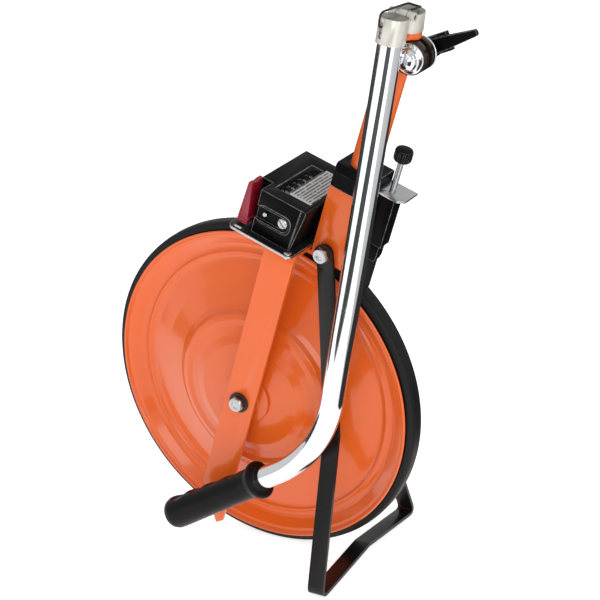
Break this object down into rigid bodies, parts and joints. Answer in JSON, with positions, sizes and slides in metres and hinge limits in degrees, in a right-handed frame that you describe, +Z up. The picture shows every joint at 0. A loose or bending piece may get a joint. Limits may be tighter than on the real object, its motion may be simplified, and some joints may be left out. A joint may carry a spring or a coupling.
{
  "type": "measuring wheel",
  "caption": "Folding distance-measuring wheel with a belt-driven counter, push brake, kickstand and a handle that folds down beside the wheel.",
  "frame": {"origin": "on the ground, under the middle of the part's bounding box", "axes": "+Z up, +Y along the wheel's axle away from the reset lever's side, +X the way the wheel rolls, from the counter towards the brake knob"},
  "size_m": [0.3844, 0.1758, 0.5304],
  "materials": {
    "tyre": "matt black rubber with a fine rib",
    "orange_paint": "glossy orange paint on pressed and welded steel",
    "steel": "plain steel",
    "black_plastic": "black moulded plastic with a soft sheen",
    "cream_casting": "cream-white coated casting",
    "dark_steel": "dark oxide finish on steel",
    "chrome": "polished chrome plate",
    "zinc": "bright zinc-plated steel",
    "clear_window": "clear plastic window",
    "label_film": "pale printed film, left plain",
    "rubber": "matt black rubber",
    "red_plastic": "red moulded plastic",
    "black_paint": "black paint on steel strap"
  },
  "bodies": {
    "frame": {"fork": "orange_paint", "mounting_plate": "zinc", "plate_screw": "zinc", "counter_case": "black_plastic", "counter_window": "clear_window", "label_plate": "label_film", "counter_shaft": "steel", "carry_pinions": "steel", "drive_belt": "rubber", "cover_screw": "zinc", "cover_pin": "zinc", "lever_pin": "steel", "bearing_sleeve": "steel", "near_axle_spacer": "steel", "far_axle_spacer": "steel", "axle_bolt": "zinc", "near_axle_washer": "dark_steel", "axle_nut": "zinc", "stem_channel": "orange_paint", "stem_collar": "black_plastic", "stem_tube": "orange_paint", "stand_bolt": "zinc", "stand_washer": "dark_steel", "stand_nut": "zinc", "brake_bracket": "zinc", "brake_housing": "black_plastic", "brake_spring": "steel", "lower_knuckle": "dark_steel", "clamp_bolt": "zinc", "cap_nut": "chrome", "clamp_ring": "chrome", "cam_seat": "black_plastic"},
    "wheel": {"tyre": "tyre", "near_wheel_half": "orange_paint", "far_wheel_half": "orange_paint", "hub": "orange_paint", "near_bearing": "steel", "far_bearing": "steel", "drive_pulley": "black_plastic"},
    "counter_input": {"counter_pulley": "black_plastic", "number_drum_5": "black_plastic"},
    "drum_4": {"number_drum_4": "black_plastic"},
    "drum_3": {"number_drum_3": "black_plastic"},
    "drum_2": {"number_drum_2": "black_plastic"},
    "drum_1": {"number_drum_1": "black_plastic"},
    "reset_lever": {"reset_lever": "red_plastic"},
    "kickstand": {"kickstand": "black_paint"},
    "brake": {"brake_rod": "zinc", "brake_knob": "black_plastic", "brake_shoe": "black_plastic", "brake_pad": "rubber"},
    "mast": {"upper_knuckle": "dark_steel", "stub_tube": "orange_paint", "far_hinge_half": "cream_casting", "hinge_pin": "steel"},
    "cam_lever": {"cam_lever": "black_plastic"},
    "handle": {"near_hinge_half": "cream_casting", "handle_tube": "chrome", "grip": "black_plastic"},
    "latch": {"latch_wire": "dark_steel"}
  },
  "joints": [
    {"name": "wheel_spin", "type": "hinge", "parent": "frame", "child": "wheel", "pos_m": [-0.03303, 0.00389, 0.15915], "axis": [0, 1, 0], "continuous": true},
    {"name": "counter_input_spin", "type": "hinge", "parent": "frame", "child": "counter_input", "pos_m": [0.02036, 0.00389, 0.35181], "axis": [0, 1, 0], "continuous": true},
    {"name": "drum_4_spin", "type": "hinge", "parent": "frame", "child": "drum_4", "pos_m": [0.02036, 0.00389, 0.35181], "axis": [0, 1, 0], "continuous": true},
    {"name": "drum_3_spin", "type": "hinge", "parent": "frame", "child": "drum_3", "pos_m": [0.02036, 0.00389, 0.35181], "axis": [0, 1, 0], "continuous": true},
    {"name": "drum_2_spin", "type": "hinge", "parent": "frame", "child": "drum_2", "pos_m": [0.02036, 0.00389, 0.35181], "axis": [0, 1, 0], "continuous": true},
    {"name": "drum_1_spin", "type": "hinge", "parent": "frame", "child": "drum_1", "pos_m": [0.02036, 0.00389, 0.35181], "axis": [0, 1, 0], "continuous": true},
    {"name": "reset_swing", "type": "hinge", "parent": "frame", "child": "reset_lever", "pos_m": [-0.00602, 0.00389, 0.33945], "axis": [0, -1, 0], "range_deg": [0, 20], "stiffness_Nm_per_rad": 0.05, "springref_deg": -17.19},
    {"name": "kickstand_swing", "type": "hinge", "parent": "frame", "child": "kickstand", "pos_m": [0.05797, 0.00389, 0.30899], "axis": [0, -1, 0], "range_deg": [0, 100]},
    {"name": "brake_press", "type": "slide", "parent": "frame", "child": "brake", "axis": [-0.3584, 0, -0.9336], "range_m": [0, 0.0024], "stiffness_N_per_m": 2000, "springref_m": -0.003, "deforming": ["brake_spring"]},
    {"name": "mast_tilt", "type": "hinge", "parent": "frame", "child": "mast", "pos_m": [0.14517, 0.00389, 0.48386], "axis": [0, 1, 0], "range_deg": [-3, 8.5]},
    {"name": "cam_lever_swing", "type": "hinge", "parent": "frame", "child": "cam_lever", "pos_m": [0.14517, 0.02444, 0.48386], "axis": [-0.342, 0, 0.9397], "range_deg": [0, 90]},
    {"name": "handle_fold", "type": "hinge", "parent": "mast", "child": "handle", "pos_m": [0.14363, -0.00961, 0.52137], "axis": [-0.981, 0, 0.1942], "range_deg": [0, 174]},
    {"name": "latch_swing", "type": "hinge", "parent": "handle", "child": "latch", "pos_m": [0.14251, -0.03288, 0.51572], "axis": [0.981, 0, -0.1942], "range_deg": [0, 105]}
  ],
  "couplings": [
    {"joint": "counter_input_spin", "follows": "wheel_spin", "ratio": 1},
    {"joint": "drum_4_spin", "follows": "wheel_spin", "ratio": 0.1},
    {"joint": "drum_3_spin", "follows": "wheel_spin", "ratio": 0.01},
    {"joint": "drum_2_spin", "follows": "wheel_spin", "ratio": 0.001},
    {"joint": "drum_1_spin", "follows": "wheel_spin", "ratio": 0.0001},
    {"joint": "latch_swing", "follows": "handle_fold", "ratio": 0.6}
  ]
}
